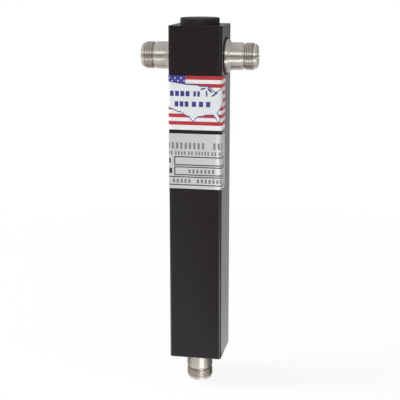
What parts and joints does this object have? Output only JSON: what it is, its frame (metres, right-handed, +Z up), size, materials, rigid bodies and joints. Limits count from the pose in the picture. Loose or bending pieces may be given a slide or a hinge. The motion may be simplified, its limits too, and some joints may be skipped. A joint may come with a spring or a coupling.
{
  "type": "rf power splitter",
  "caption": "Two-way coaxial power splitter: black square tube with a threaded coaxial input jack in its lower end, opposed output jacks near the top, a round end plug and wrap-round labels.",
  "frame": {"origin": "on the tube axis, at the open end of the input jack, which is the lowest point", "axes": "+Z up the tube towards the end plug, +X along the output jacks to the right one, -Y out of the labelled front face"},
  "size_m": [0.0694, 0.032, 0.226],
  "materials": {
    "black_tube": "black coated, satin gloss",
    "black_plug": "moulded, matte",
    "bare_aluminium": "turned",
    "brass_rod": "turned",
    "gasket_rubber": "moulded, matte",
    "nickel_plate": "nickel plated, bright turned",
    "white_insulator": "turned",
    "gold_plate": "gold plated",
    "stripe_film": "printed film, striped",
    "foil_film": "printed foil, ruled"
  },
  "bodies": {
    "root": {"body_tube": "black_tube", "top_plug": "black_plug", "input_bushing": "bare_aluminium", "inner_conductor": "brass_rod", "input_jack_gasket": "gasket_rubber", "input_jack_shell": "nickel_plate", "input_jack_insulator": "white_insulator", "input_jack_contact": "gold_plate", "left_jack_gasket": "gasket_rubber", "left_jack_shell": "nickel_plate", "left_jack_insulator": "white_insulator", "left_jack_contact": "gold_plate", "right_jack_gasket": "gasket_rubber", "right_jack_shell": "nickel_plate", "right_jack_insulator": "white_insulator", "right_jack_contact": "gold_plate", "stripe_label": "stripe_film", "rating_label": "foil_film"}
  },
  "joints": []
}
